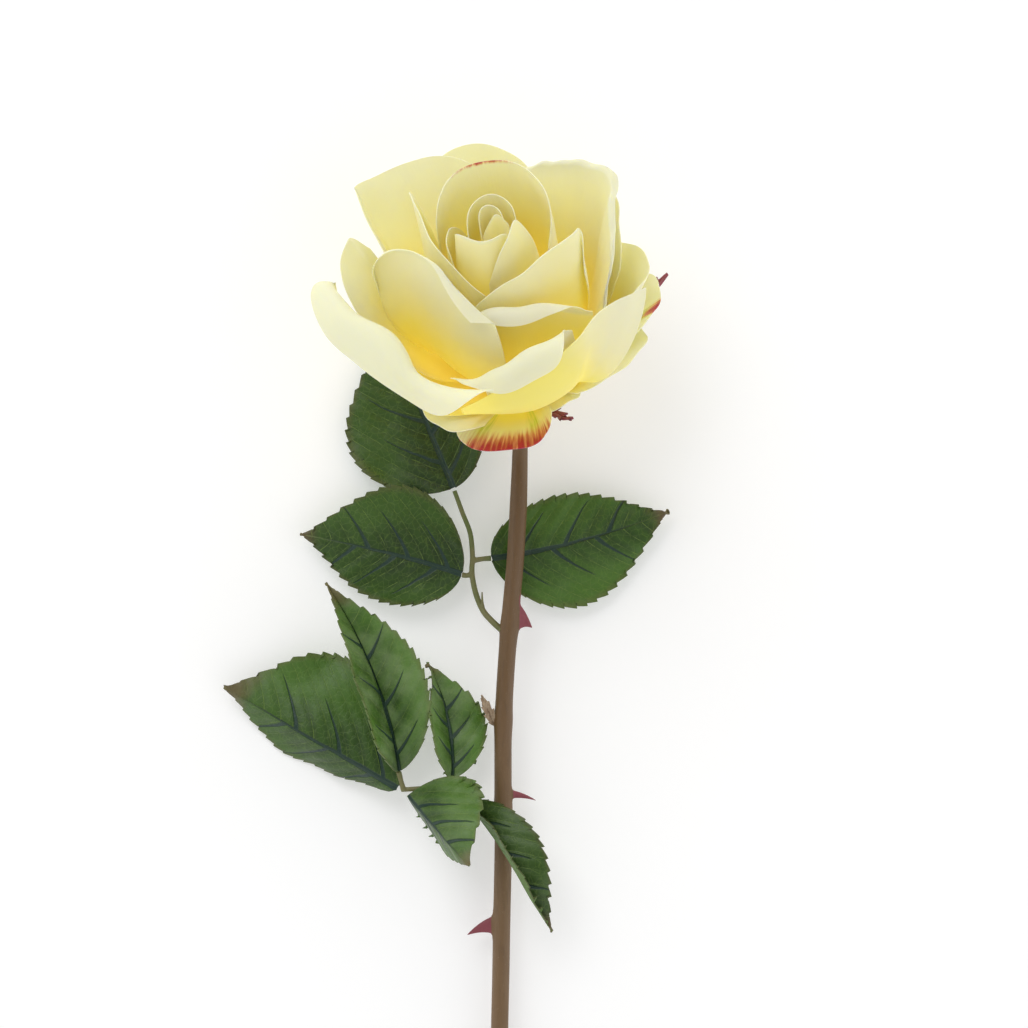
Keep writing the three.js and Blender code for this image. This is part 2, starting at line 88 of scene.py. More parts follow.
# White walls all round, and a dimmer ceiling, so that flat glossy leaves don't look grey.
tree = studio.node_tree
facing = tree.nodes.new("ShaderNodeTexCoord")
upward = tree.nodes.new("ShaderNodeSeparateXYZ")
tree.links.new(facing.outputs["Generated"], upward.inputs[0])
dimming = tree.nodes.new("ShaderNodeMapRange")
tree.links.new(upward.outputs["Z"], dimming.inputs["Value"])
for label, value in (("From Min", 0.45), ("From Max", 0.95), ("To Min", 1.12), ("To Max", 0.3)):
    dimming.inputs[label].default_value = value
tree.links.new(dimming.outputs[0], tree.nodes["Background"].inputs["Strength"])
tree.nodes["Background"].inputs["Color"].default_value = (1, 1, 1, 1)

bpy.ops.object.camera_add(location=HIP_CENTRE + Vector(CAMERA_OFFSET))
camera = bpy.context.object
camera.name = "overhead_camera"
camera.rotation_euler = (0, 0, 0)
camera.data.sensor_width = 36
camera.data.lens = LENS
camera.data.clip_end = 20
bpy.context.scene.camera = camera
bpy.context.scene.view_settings.view_transform = "Standard"
bpy.context.scene.view_settings.look = "None"

# ---- The hip -------------------------------------------------------------------------------
# The green swelling under the bloom that every petal and sepal is set on: a moulded plastic
# bead, drawn in to a collar where it meets the stem.
HIP_RADIUS = 7
HIP_HALF_HEIGHT = 8
HEAD_NOD = 48.3
HEAD_LEAN = 9.2
HEAD = (
    Matrix.Translation(HIP_CENTRE)
    @ Matrix.Rotation(math.radians(HEAD_LEAN), 4, "Z")
    @ Matrix.Rotation(math.radians(-HEAD_NOD), 4, "X")
    @ Matrix.Scale(MM, 4)
)


def put_points(piece, points, place):
    """Moves a piece's vertices to points, which a matrix takes from their frame to the room."""
    place = np.array(place)
    points = points @ place[:3, :3].T + place[:3, 3]
    piece.data.vertices.foreach_set("co", points.astype(np.float32).ravel())
    piece.data.update()


def get_points(piece):
    """A piece's vertices in its own units, one row to each."""
    points = np.empty(len(piece.data.vertices) * 3, np.float32)
    piece.data.vertices.foreach_get("co", points)
    return points.reshape(-1, 3).astype(float)


def paint_value(piece, name, values):
    """Stores one number for each vertex, which the piece's material reads by name."""
    layer = piece.data.attributes.get(name) or piece.data.attributes.new(name, "FLOAT", "POINT")
    layer.data.foreach_set("value", np.clip(values, 0, 1).astype(np.float32))


def new_finish(name):
    """A fresh material, with its node tree and its Principled shader."""
    finish = bpy.data.materials.new(name)
    finish.use_nodes = True
    return finish, finish.node_tree, finish.node_tree.nodes["Principled BSDF"]


def feed(tree, socket, value):
    """Links another node's output into a socket, or sets the socket to a plain value."""
    if isinstance(value, bpy.types.NodeSocket):
        tree.links.new(value, socket)
    else:
        socket.default_value = value


def node(tree, kind, settings=None, **inputs):
    """Adds a node, sets its options, and sets or links its inputs by name."""
    made = tree.nodes.new(kind)
    for key, value in (settings or {}).items():
        setattr(made, key, value)
    for key, value in inputs.items():
        feed(tree, made.inputs[key], value)
    return made


def sum_of(tree, kind, first, second=0.0, third=None):
    """One step of arithmetic between sockets or numbers."""
    made = tree.nodes.new("ShaderNodeMath")
    made.operation = kind
    for socket, value in zip(made.inputs, (first, second, third)):
        if value is not None:
            feed(tree, socket, value)
    return made.outputs[0]


def blend_colours(tree, share, first, second):
    """Mixes two colours by a share that changes over the surface."""
    made = tree.nodes.new("ShaderNodeMix")
    made.data_type = "RGBA"
    for number, value in ((0, share), (6, first), (7, second)):
        feed(tree, made.inputs[number], (*value, 1) if isinstance(value, tuple) else value)
    return made.outputs[2]


def tinted(tree, base, mask, strength, colour):
    """A base colour turned towards another where the mask is high."""
    return blend_colours(tree, sum_of(tree, "MULTIPLY", mask, strength), base, colour)


def painted_value(tree, name):
    """The number that paint_value stored under a name."""
    return node(tree, "ShaderNodeAttribute", {"attribute_name": name}).outputs["Fac"]


def fade(tree, value, start, end):
    """A smooth step from 0 at start to 1 at end."""
    made = tree.nodes.new("ShaderNodeMapRange")
    made.interpolation_type = "SMOOTHSTEP"
    for socket, given in zip(made.inputs[:3], (value, start, end)):
        feed(tree, socket, given)
    return made.outputs[0]


def cloudy(tree, scale, detail=3.0, stretch=(1, 1, 1)):
    """Soft noise through a piece, stretched along any axis whose factor is under 1."""
    where = node(tree, "ShaderNodeTexCoord").outputs["Object"]
    spread = node(tree, "ShaderNodeMapping", Vector=where, Scale=stretch)
    made = node(tree, "ShaderNodeTexNoise", Vector=spread.outputs[0], Scale=scale, Detail=detail)
    return made.outputs["Fac"]


def dress(tree, skin, base, roughness, height, depth):
    """Gives a skin its colour, its roughness and its relief, which is depth metres deep."""
    feed(tree, skin.inputs["Base Color"], base)
    feed(tree, skin.inputs["Roughness"], roughness)
    bump = node(tree, "ShaderNodeBump", Height=height, Distance=depth, Strength=1.0)
    tree.links.new(bump.outputs[0], skin.inputs["Normal"])


def finish_piece(piece, part_slot, *nodes):
    """Every piece rides on the one body and stands for its solids; part_slot is not used."""
    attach(piece, "root")
    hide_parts(*nodes)


hip_finish, tree, skin = new_finish("hip_green")
mottle = fade(tree, cloudy(tree, 420), 0.35, 0.65)
base = blend_colours(tree, mottle, (0.16, 0.19, 0.05), (0.24, 0.22, 0.08))
dress(tree, skin, base, 0.5, mottle, 0.0002)

bpy.ops.object.select_all(action="DESELECT")
bpy.ops.mesh.primitive_uv_sphere_add(segments=48, ring_count=32, radius=1)
hip = bpy.context.object
hip.name = "green_hip"
ball = get_points(hip)
turn = np.arctan2(ball[:, 0], ball[:, 1])
ribs = 1 + 0.035 * np.cos(5 * turn) * (1 - ball[:, 2] ** 2)
waist = 1 - 0.28 * np.clip((-ball[:, 2] - 0.35) / 0.65, 0, 1) ** 2
across = HIP_RADIUS * ribs * waist
put_points(hip, ball * np.stack([across, across, np.full(len(ball), HIP_HALF_HEIGHT)], 1), HEAD)
bpy.ops.object.shade_smooth()
hip.data.materials.append(hip_finish)
finish_piece(hip, "hip", "hip")

# ---- The petals ----------------------------------------------------------------------------
# Twenty-eight petals of stiffened silk, cut from cloth, pressed to a cup on a warm ball tool
# and wrapped round the hip in order. Each is a thin sheet that widens to a rim, and four of
# them have rims that curl right back. Their colour runs from gold at the foot to cream:
# partly the dye, and partly painted glow that stands for light passed on in the depths.
#
# Azimuth 0 is the side turned up and away from the bloom's top, and runs to the right. A
# petal's rim is a row of (azimuth, radius, height) from its left end to its right. seat is
# the polar angle of its foot on the hip, and lean its angle out from the axis at foot and
# rim. lip is the length that rolls on past the rim and roll the angle it turns through.
# bulge is how much wider its left and right sides are half way up than a straight wedge,
# gold how much more gold it has, partly dye and partly painted glow, crease a fold's depth,
# and fray and scallop cut its rim's edge.
PETALS = {
    "core": {
        "seat": 9, "lean": (8, 0), "gold": 0.35,
        "rim": [(60, 2.4, 60), (110, 3, 65), (160, 4, 68), (210, 5, 69), (250, 5.3, 67),
                (285, 4.9, 61)],
    },
    "bud_1": {
        "seat": 17, "lean": (18, -4), "gold": 0.35,
        "rim": [(-75, 4.6, 58), (-35, 5.2, 66), (5, 5.6, 72), (45, 5.2, 67), (85, 4.6, 59)],
    },
    "bud_2": {
        "seat": 24, "lean": (24, -4), "gold": 0.3,
        "rim": [(78, 6.4, 58), (115, 7.2, 66), (150, 8, 69), (185, 8.6, 70), (220, 8.8, 69),
                (255, 9, 66), (290, 9, 58)],
    },
    "bud_3": {
        "seat": 31, "lean": (40, -4), "gold": 0.4,
        "rim": [(-92, 12, 60), (-66, 14, 67), (-38, 14.2, 68), (-10, 13.6, 68.5),
                (16, 12.4, 68.5), (38, 11, 60)],
    },
    "bud_4": {
        "seat": 37, "lean": (44, 0), "gold": 0.4,
        "rim": [(-136, 12, 52), (-114, 14, 61), (-92, 16, 63), (-72, 17, 60), (-60, 17, 53)],
    },
    "bud_5": {
        "seat": 43, "lean": (48, 0), "gold": 0.35,
        "rim": [(-18, 16.4, 52), (-4, 16.4, 62), (10, 16, 69), (24, 14.8, 75), (38, 15, 70),
                (50, 15.4, 62), (58, 15, 52)],
    },
    "heart_1": {
        "seat": 49, "lean": (52, 2), "gold": 0.15,
        "rim": [(76, 17.2, 56), (100, 18.6, 67), (126, 19.4, 72), (154, 20, 74), (182, 20.8, 74),
                (208, 21.4, 73), (234, 20.6, 70), (256, 19, 62)],
    },
    "heart_2": {
        "seat": 54, "lean": (60, 8), "gold": 0.25,
        "rim": [(-130, 24, 44), (-124, 28, 62), (-116, 29.5, 73), (-97, 24.5, 68), (-72, 21, 64),
                (-46, 20.4, 58), (-20, 20.2, 50)],
    },
    "heart_3": {
        "seat": 59, "lean": (64, 4), "gold": 0.3,
        "rim": [(-38, 23, 42), (-20, 22.8, 50), (0, 22.6, 57), (20, 22.8, 60.5), (40, 24, 63.5),
                (58, 28, 67), (66, 30, 65), (60, 31, 49)],
    },
    "mid_1": {
        "seat": 64, "lean": (70, -2), "gold": 0.6, "bulge": (0, 0),
        "rim": [(-44, 25.6, 38), (-26, 25.2, 45), (-8, 25.2, 47.5), (11, 26, 48), (29, 30, 46),
                (46, 38, 42)],
        "lip": (0, 3, 9, 9, 6, 0), "roll": (0, 100, 160, 150, 120, 0),
    },
    "mid_2": {
        "seat": 68, "lean": (75, -2), "gold": 0.15, "bulge": (0.3, 0.3),
        "rim": [(-94, 42, 40), (-92, 42.5, 51), (-88, 36, 59), (-77, 27.5, 62.5), (-60, 25.5, 62),
                (-40, 28.2, 56), (-23, 32.8, 49)],
        "lip": (0, 1, 1, 1.2, 1.8, 1.8, 1), "roll": (0, 60, 60, 70, 100, 110, 60),
    },
    "mid_3": {
        "seat": 67, "lean": (72, 22), "fray": 0.7,
        "rim": [(62, 35, 32), (74, 36, 42), (89, 37, 49), (103, 39, 56.5), (116, 43, 61.5),
                (130, 39.5, 62), (143, 34.5, 62), (156, 31, 61), (168, 28, 55)],
        "lip": (0, 1, 2, 3, 5, 6, 6, 4, 0), "roll": (0, 40, 70, 100, 130, 140, 140, 110, 0),
    },
    "mid_4": {
        "seat": 71, "lean": (76, 30), "crease": 1.6,
        "rim": [(176, 38, 52), (187, 42, 59), (199, 48, 61), (211, 51.5, 61.5), (222, 54, 61),
                (229.5, 57.5, 60), (231.5, 56, 58), (240, 46, 50), (252, 38, 45)],
    },
    "outer_1": {
        "seat": 75, "lean": (82, 26),
        "rim": [(-122, 50, 42), (-115, 52, 50), (-108, 52.5, 54), (-100, 53, 51), (-92, 52, 45),
                (-82, 47, 36), (-72, 42, 28)],
    },
    "outer_2": {
        "seat": 73, "lean": (78, -14), "bulge": (-0.6, 0.1),
        "rim": [(-36, 38, 28), (-23, 41, 32.5), (-9, 42, 36), (4, 41.6, 39.5), (16, 41, 42.5),
                (27, 39, 42)],
        "lip": (0, 6, 14, 16, 12, 0), "roll": (0, 150, 180, 185, 160, 0),
    },
    "outer_3": {
        "seat": 82, "lean": (83, -6), "bulge": (0.1, -0.7),
        "rim": [(-100, 57, 40), (-90, 55, 45), (-77, 51, 46), (-59, 47.5, 44.5), (-41, 47, 41),
                (-25, 49, 36), (-10, 50, 33)],
        "lip": (2, 11, 19, 23, 23, 19, 5), "roll": (30, 130, 175, 180, 180, 160, 60),
    },
    "outer_4": {
        "seat": 78, "lean": (80, 0), "bulge": (0, -0.6),
        "rim": [(-30, 41, 18), (-16, 44, 27.5), (-1, 45.5, 34.5), (13, 45.5, 38), (27, 43.5, 42),
                (39, 42, 45.5), (52, 44, 45.5), (62, 47, 44), (70.5, 49.5, 41)],
    },
    "outer_5": {
        "seat": 75, "lean": (78, 22),
        "rim": [(62, 37, 24), (73, 42, 33), (83, 46.5, 37), (93, 48, 37.5), (103, 47, 38),
                (114, 45, 33)],
    },
    "outer_6": {
        "seat": 72, "lean": (74, 24),
        "rim": [(88, 38.5, 38), (98, 41, 45), (110, 44.5, 49.5), (123, 48, 50), (136, 49, 47),
                (147, 46, 40)],
    },
    "outer_7": {
        "seat": 79, "lean": (82, 24),
        "rim": [(154, 44, 40), (165, 50, 50), (176, 55, 54.5), (186, 57, 55), (197, 57, 52),
                (209, 54, 44)],
    },
    "guard_1": {
        "seat": 98, "lean": (97, 60),
        "rim": [(38, 29, 6), (48, 35, 9), (58, 40, 11.5), (67, 43.5, 13.5), (76, 45.5, 15),
                (84, 43, 14)],
    },
    "guard_2": {
        "seat": 90, "lean": (88, 50),
        "rim": [(70, 41, 18), (77, 46.5, 22), (84, 50, 24), (92, 51, 25), (102, 50, 24.5),
                (111, 45, 22)],
    },
    "guard_3": {
        "seat": 92, "lean": (92, 84),
        "rim": [(-68, 35, 8), (-57, 40, 9), (-46, 42.5, 8.5), (-38, 43, 8), (-30, 40, 7),
                (-24, 34, 5.5)],
    },
    "guard_4": {
        "seat": 100, "lean": (98, 88), "scallop": 0.9,
        "rim": [(-46, 31, 3), (-37, 38, 2.5), (-26, 41, 2), (-12, 41, 1.5), (1, 39.5, 2),
                (11, 35, 2.5), (19, 27, 3)],
    },
    "guard_5": {
        "seat": 107, "lean": (102, 70),
        "rim": [(6, 20, -3), (18, 24, -0.5), (30, 27, 2.5), (40, 29, 4), (49, 26, 2)],
    },
    "guard_6": {
        "seat": 96, "lean": (94, 80),
        "rim": [(122, 42, 14), (136, 50, 13), (150, 54, 11), (164, 50, 10), (178, 42, 11)],
    },
    "guard_7": {
        "seat": 101, "lean": (98, 84),
        "rim": [(182, 42, 5), (196, 50, 5), (208, 53, 5), (222, 48, 7), (233, 40, 9)],
    },
    "guard_8": {
        "seat": 95, "lean": (94, 70),
        "rim": [(246, 36, 5), (256, 42, 7), (267, 44, 8), (278, 42, 7), (288, 35, 5)],
    },
}
PETAL_CLEARANCE = 0.35
PETAL_CLOTH = 0.32  # thickness of the stiffened silk
LIP_START = 0.68  # how far along a petal its rim comes, where it has a lip
LIP_STEPS = 16
LIP_LEAST = 0.8
REACH_SHARE = 0.45  # length of a petal's two curve handles, of the way from foot to rim
PETAL_DENT = 0.0011  # depth and spacing in metres of the softness in pressed cloth
PETAL_DENT_SPACING = 0.016
TIGHT_DENT = 0.35  # the rolled middle is dented less


def smooth_run(values, t):
    """A smooth curve through evenly spaced values, read at t from 0 to 1."""
    values = np.asarray(values, float)
    run = np.concatenate([[2 * values[0] - values[1]], values, [2 * values[-1] - values[-2]]])
    at = np.clip(t, 0, 1) * (len(values) - 1)
    i = np.minimum(np.floor(at).astype(int), len(values) - 2)
    s = at - i
    a, b, c, d = (run[i + k] for k in range(4))
    return b + 0.5 * s * (c - a + s * (2 * a - 5 * b + 4 * c - d + s * (3 * (b - c) + d - a)))


def bezier(a, b, c, d, t):
    """A curve from a to d that leaves towards b and comes in from c."""
    s = 1 - t
    return a * s**3 + 3 * b * t * s**2 + 3 * c * t**2 * s + d * t**3


def bump_at(value, middle, half_width):
    """1 at the middle of a soft band and 0 beyond its half width."""
    near = np.clip(1 - np.abs(value - middle) / half_width, 0, 1)
    return near * near * (3 - 2 * near)


def petal_points(petal, u, v, rng):
    """A petal's sheet, u across from -1 to 1 and v from its foot at 0 to its edge at 1."""
    foot_radius = (HIP_RADIUS + PETAL_CLEARANCE) * math.sin(math.radians(petal["seat"]))
    foot_height = (HIP_HALF_HEIGHT + PETAL_CLEARANCE) * math.cos(math.radians(petal["seat"]))
    azimuths, radii, heights = zip(*petal["rim"])
    foot_lean, rim_lean = (math.radians(a) for a in petal["lean"])
    middle = smooth_run(azimuths, 0.5)
    t = (u + 1) / 2
    left_bulge, right_bulge = petal.get("bulge", (0.1, 0.1))
    bulge = left_bulge + (right_bulge - left_bulge) * t * t * (3 - 2 * t)
    widen = 1 + bulge * np.sin(np.pi * v)
    azimuth = np.radians(middle + (smooth_run(azimuths, t) - middle) * widen)
    lipped = "lip" in petal
    start = LIP_START if lipped else 1
    # The rim waves a little in and out and up and down, as pressed cloth does.
    slow, quick = rng.uniform(0, 6.28), rng.uniform(0, 6.28)
    wave = 0.5 * np.sin(9 * t + slow) + 0.3 * np.sin(21 * t + quick)
    size = min(1, np.ptp(azimuths) * np.mean(radii) / 2500)
    rim_radius = smooth_run(radii, t) + 0.9 * size * wave
    rim_height = smooth_run(heights, t) + 0.5 * size * np.sin(15 * t + quick)
    rim_height = rim_height - petal.get("scallop", 0) * np.abs(np.sin(7.5 * t + 0.4))
    fray = petal.get("fray", 0)
    rim_height = rim_height + fray * (0.5 * np.sin(47 * t + slow) + 0.4 * np.sin(83 * t))
    s = np.minimum(1, v / start)
    reach = REACH_SHARE * np.hypot(rim_radius - foot_radius, rim_height - foot_height)
    radius = bezier(
        foot_radius,
        foot_radius + reach * math.sin(foot_lean),
        rim_radius - reach * math.sin(rim_lean),
        rim_radius,
        s,
    )
    climb = np.maximum(0, rim_height - foot_height)
    rise = np.minimum(reach * math.cos(rim_lean), REACH_SHARE * climb**2 / reach)
    height = bezier(
        foot_height, foot_height + reach * math.cos(foot_lean), rim_height - rise, rim_height, s
    )
    if lipped:
        lip = np.maximum(LIP_LEAST, smooth_run(petal["lip"], t))
        roll = np.radians(np.maximum(0, smooth_run(petal["roll"], t)))
        past = np.maximum(0, (v - start) / (1 - start))
        for i in range(LIP_STEPS):
            turned = rim_lean + roll * np.sin(math.pi / 2 * ((i + 0.5) / LIP_STEPS) * past)
            radius = radius + np.sin(turned) * lip * past / LIP_STEPS
            height = height + np.cos(turned) * lip * past / LIP_STEPS
    fold = np.exp(-(((u - 0.5 - 0.5 * (v - 0.72)) / 0.07) ** 2)) * bump_at(v, 0.72, 0.24)
    radius = radius + petal.get("crease", 0) * fold
    return np.stack([radius * np.sin(azimuth), -radius * np.cos(azimuth), height], 1)


def flat_sheet(name, across, along):
    """A flat square sheet ready to be shaped, with where each vertex lies on it."""
    bpy.ops.object.select_all(action="DESELECT")
    bpy.ops.mesh.primitive_grid_add(x_subdivisions=across, y_subdivisions=along, size=2)
    sheet = bpy.context.object
    sheet.name = name
    sheet.data.name = name
    where = get_points(sheet)
    return sheet, where[:, 0], (where[:, 1] + 1) / 2


def dent(piece, depth, spacing, seed):
    """Pushes a sheet softly in and out along its own normals, more where depth is more."""
    points = get_points(piece)
    out = np.empty(len(points) * 3, np.float32)
    piece.data.vertex_normals.foreach_get("vector", out)
    shift = Vector((seed * 7.3, seed * 3.1, seed * 5.7))
    push = np.array([noise.noise(Vector(p) / spacing + shift) for p in points])
    put_points(piece, points + out.reshape(-1, 3) * (push * depth)[:, None], Matrix())


def make_thick(piece, thickness, under_offset=0):
    """Gives a sheet its thickness, half to each side, and smooths all but its cut edge."""
    solid = piece.modifiers.new("thickness", "SOLIDIFY")
    solid.thickness = thickness * MM
    solid.offset = 0
    solid.material_offset = under_offset
    bpy.ops.object.modifier_apply(modifier=solid.name)
    bpy.ops.object.shade_smooth_by_angle(angle=math.radians(60))


def combed(tree, where, scale, detail):
    """Noise drawn out along a petal, as its threads and the strokes of a brush are."""
    spread = node(tree, "ShaderNodeMapping", Vector=where, Scale=scale).outputs[0]
    made = node(tree, "ShaderNodeTexNoise", Vector=spread, Scale=1.0, Detail=detail)
    return made.outputs["Fac"]


silk, tree, skin = new_finish("petal_silk")
where = node(tree, "ShaderNodeUVMap", {"uv_map": "UVMap"}).outputs[0]
threads = combed(tree, where, (150, 5, 1), 3.0)
brushed = combed(tree, where, (48, 2.5, 1), 5.0)
bloom = cloudy(tree, 90, 4)
dye_and_depth_glow = painted_value(tree, "dye_and_depth_glow")
blush = painted_value(tree, "blush")
greening = painted_value(tree, "greening")
# Cream at the rims turning to gold towards the feet: partly the dye, partly painted glow for light
# passed on between the petals.
uneven = sum_of(tree, "MULTIPLY_ADD", sum_of(tree, "SUBTRACT", bloom, 0.5), 0.25, dye_and_depth_glow)
base = blend_colours(tree, fade(tree, uneven, -0.1, 0.5), (0.87, 0.85, 0.55), (0.95, 0.88, 0.46))
base = blend_colours(tree, fade(tree, uneven, 0.3, 1.0), base, (0.97, 0.80, 0.16))
streaks = sum_of(tree, "MULTIPLY_ADD", brushed, 2.4, -0.1)
streaky = sum_of(tree, "MULTIPLY", streaks, greening)
base = blend_colours(tree, fade(tree, streaky, 0.2, 1.3), base, (0.42, 0.56, 0.06))
streaky = sum_of(tree, "MULTIPLY", streaks, blush)
base = blend_colours(tree, fade(tree, streaky, 0.1, 0.8), base, (0.62, 0.17, 0.17))
base = blend_colours(tree, fade(tree, streaky, 0.4, 1.1), base, (0.28, 0.008, 0.045))
relief = sum_of(tree, "MULTIPLY_ADD", bloom, 1.5, sum_of(tree, "MULTIPLY", threads, 0.2))
dress(tree, skin, base, sum_of(tree, "MULTIPLY_ADD", bloom, 0.2, 0.42), relief, 0.00018)
skin.inputs["Subsurface Weight"].default_value = 0.5
skin.inputs["Subsurface Radius"].default_value = (1.0, 0.8, 0.25)
skin.inputs["Subsurface Scale"].default_value = 0.004
skin.inputs["Specular IOR Level"].default_value = 0.28
# Painted glow: a faint warm-yellow emission in the depths stands for the light that thin silk
# passes on from petal to petal.
painted_glow = sum_of(tree, "MULTIPLY", fade(tree, dye_and_depth_glow, 0.3, 1.3), 0.16)
skin.inputs["Emission Color"].default_value = (0.97, 0.78, 0.16, 1)
tree.links.new(painted_glow, skin.inputs["Emission Strength"])

for number, (name, petal) in enumerate(PETALS.items()):
    rng = random.Random(number)
    sheet, u, v = flat_sheet(name + "_petal", 64, 60)
    points = petal_points(petal, u, v, rng)
    put_points(sheet, points, HEAD)
    start = LIP_START if "lip" in petal else 1
    # Gold towards the foot and on the inner petals: partly dye, partly painted glow for the light
    # in the depths.
    dye_and_depth_glow = 1.7 * np.clip(1 - v / start, 0, 1) ** 1.15
    dye_and_depth_glow = dye_and_depth_glow + petal.get("gold", 0) * (v < start)
    if name == "outer_4":  # gold runs up its left side, and its right side stays cream
        dye_and_depth_glow = dye_and_depth_glow + 1.2 * np.clip(0.5 - u, 0, 1)
    paint_value(sheet, "dye_and_depth_glow", dye_and_depth_glow)
    # Crimson and green are brushed on at the rims of three petals.
    if name == "heart_1":
        paint_value(sheet, "blush", 0.9 * (v > 0.99) * bump_at(u, 0.16, 0.5))
    elif name == "guard_4":
        to_rim = np.clip((v - 0.62) / 0.38, 0, 1) ** 1.3
        paint_value(sheet, "blush", 1.2 * bump_at(u, 0.1, 0.9) ** 0.5 * to_rim)
        paint_value(sheet, "greening", (bump_at(u, -0.38, 0.26) + bump_at(u, 0.42, 0.26)) * 0.8)
    elif name == "guard_2":
        to_rim = np.clip((v - 0.85) / 0.15, 0, 1)
        paint_value(sheet, "blush", bump_at(u, -0.25, 0.35) * 1.2 * to_rim)
        paint_value(sheet, "greening", bump_at(u, -0.3, 0.5) * np.clip((v - 0.6) / 0.3, 0, 1))
    softness = TIGHT_DENT if name.startswith(("core", "bud")) else 1
    dent(sheet, PETAL_DENT * v**1.5 * softness, PETAL_DENT_SPACING, number + 1)
    make_thick(sheet, PETAL_CLOTH)
    sheet.data.materials.append(silk)
    finish_piece(sheet, "petals", "petal_" + name)

# ---- The sepals ----------------------------------------------------------------------------
# Five pointed green leaves set round the hip's foot, dark red towards their tips, with
# ragged side points. They turn back under the bloom, and two of them show past it.
SEPALS = {
    1: {"az": 29, "reach": 31, "height": -1, "width": 3.6, "arch": -3},
    2: {"az": 105, "reach": 57, "height": 20, "width": 7, "arch": -4, "widest": 2},
    3: {"az": 171, "reach": 36, "height": -2, "width": 8, "arch": -3},
    4: {"az": 243, "reach": 36, "height": -3, "width": 8, "arch": -3},
    5: {"az": 315, "reach": 32, "height": -6, "width": 8, "arch": -3},
}
SEPAL_SEAT = 125
SEPAL_THICKNESS = 0.7
SEPAL_TEETH = 5
SEPAL_TOOTH_DEPTH = 2.6
SEPAL_PUCKER = 0.25
WIDEST = 0.78  # sets how far along a blade is widest, higher being nearer its base
HALF_LEAST = 0.02  # no blade narrows past this, so deep teeth can't fold a thin one over

VEIN_BEND = 0.5  # side veins lie along y - bend * x ** curve, in millimetres
VEIN_CURVE = 1.25
VEIN_PERIOD = 6.6  # from one fine side vein to the next
MIDRIB_WIDTH = 1.1
MIDRIB_DEPTH = 1.4  # of the groove over the midrib, in puckers


def blade_points(blade, u, v, teeth=0, tooth=0.0, pucker=0.0):
    """A leaf-shaped sheet from its base to its tip, and its distances across and along.

    left and right are its half widths, tilt turns each half up about the midrib in degrees,
    arch lifts its middle and bow moves it sideways. Its margin has teeth, each tooth deep,
    and pucker is how far the cloth swells between its side veins.
    """
    base, tip = Vector(blade["base"]), Vector(blade["tip"])
    ahead = (tip - base).normalized()
    right = ahead.cross(Vector((0, 0, 1))).normalized()
    up = right.cross(ahead)
    length = (tip - base).length
    outline = np.sin(np.pi * v ** blade.get("widest", WIDEST)) ** (0.62 + 0.58 * v)
    width = np.where(u < 0, blade["left"], blade["right"])
    half = width * np.maximum(outline, 0.04 * (1 - v))
    margin = np.abs(u) ** 10
    phase = (v * teeth + 0.35 * (u < 0)) % 1
    saw = phase - 0.5
    half = np.maximum(HALF_LEAST, half + tooth * saw * margin * np.clip(outline * 2, 0, 1))
    tilt = blade.get("tilt", (0, 0))
    lift = np.radians(np.where(u < 0, tilt[0], tilt[1]))
    curl = 4 * v * (1 - v)
    across = np.abs(u) * half
    ribs = np.abs(np.sin(np.pi * (length * v - VEIN_BEND * across**VEIN_CURVE) / VEIN_PERIOD))
    groove = MIDRIB_DEPTH * np.exp(-((across / MIDRIB_WIDTH) ** 2))
    swell = pucker * (ribs * np.sin(np.pi * np.abs(u) ** 0.8) - groove)
    side = u * half * np.cos(lift) + blade.get("bow", 0) * curl
    side = side - np.sign(u) * np.sin(lift) * swell
    lifted = across * np.sin(lift) + blade.get("arch", 0) * curl + swell * np.cos(lift)
    onward = length * v + 0.6 * tooth * saw * margin
    points = (
        np.array(base)
        + np.outer(onward, np.array(ahead))
        + np.outer(side, np.array(right))
        + np.outer(lifted, np.array(up))
    )
    return points, u * half, length * v


def polar(azimuth, radius, height):
    """A place round the hip's axis, in millimetres."""
    a = math.radians(azimuth)
    return (radius * math.sin(a), -radius * math.cos(a), height)


sepal_finish, tree, skin = new_finish("sepal_red_green")
redness = painted_value(tree, "redness")
grain = cloudy(tree, 600, 4)
redness = sum_of(tree, "MULTIPLY_ADD", sum_of(tree, "SUBTRACT", grain, 0.5), 0.8, redness)
base = blend_colours(tree, fade(tree, redness, 0.25, 0.6), (0.13, 0.19, 0.04), (0.27, 0.05, 0.07))
base = blend_colours(tree, fade(tree, grain, 0.5, 0.75), base, (0.13, 0.03, 0.03))
dress(tree, skin, base, 0.5, grain, 0.0003)

for number, sepal in SEPALS.items():
    sheet, u, v = flat_sheet(f"sepal_{number}_blade", 20, 80)
    blade = {
        "base": polar(
            sepal["az"],
            (HIP_RADIUS + PETAL_CLEARANCE) * math.sin(math.radians(SEPAL_SEAT)),
            (HIP_HALF_HEIGHT + PETAL_CLEARANCE) * math.cos(math.radians(SEPAL_SEAT)),
        ),
        "tip": polar(sepal["az"], sepal["reach"], sepal["height"]),
        "left": sepal["width"] / 2, "right": sepal["width"] / 2,
        "arch": sepal["arch"], "tilt": (12, 12), "widest": sepal.get("widest", WIDEST),
    }
    points, _, _ = blade_points(blade, u, v, SEPAL_TEETH, SEPAL_TOOTH_DEPTH, SEPAL_PUCKER)
    put_points(sheet, points, HEAD)
    paint_value(sheet, "redness", 0.2 + 1.1 * v)
    dent(sheet, 0.0008 * v, 0.006, 40 + number)
    make_thick(sheet, SEPAL_THICKNESS)
    sheet.data.materials.append(sepal_finish)
    finish_piece(sheet, "sepals", f"sepal_{number}")

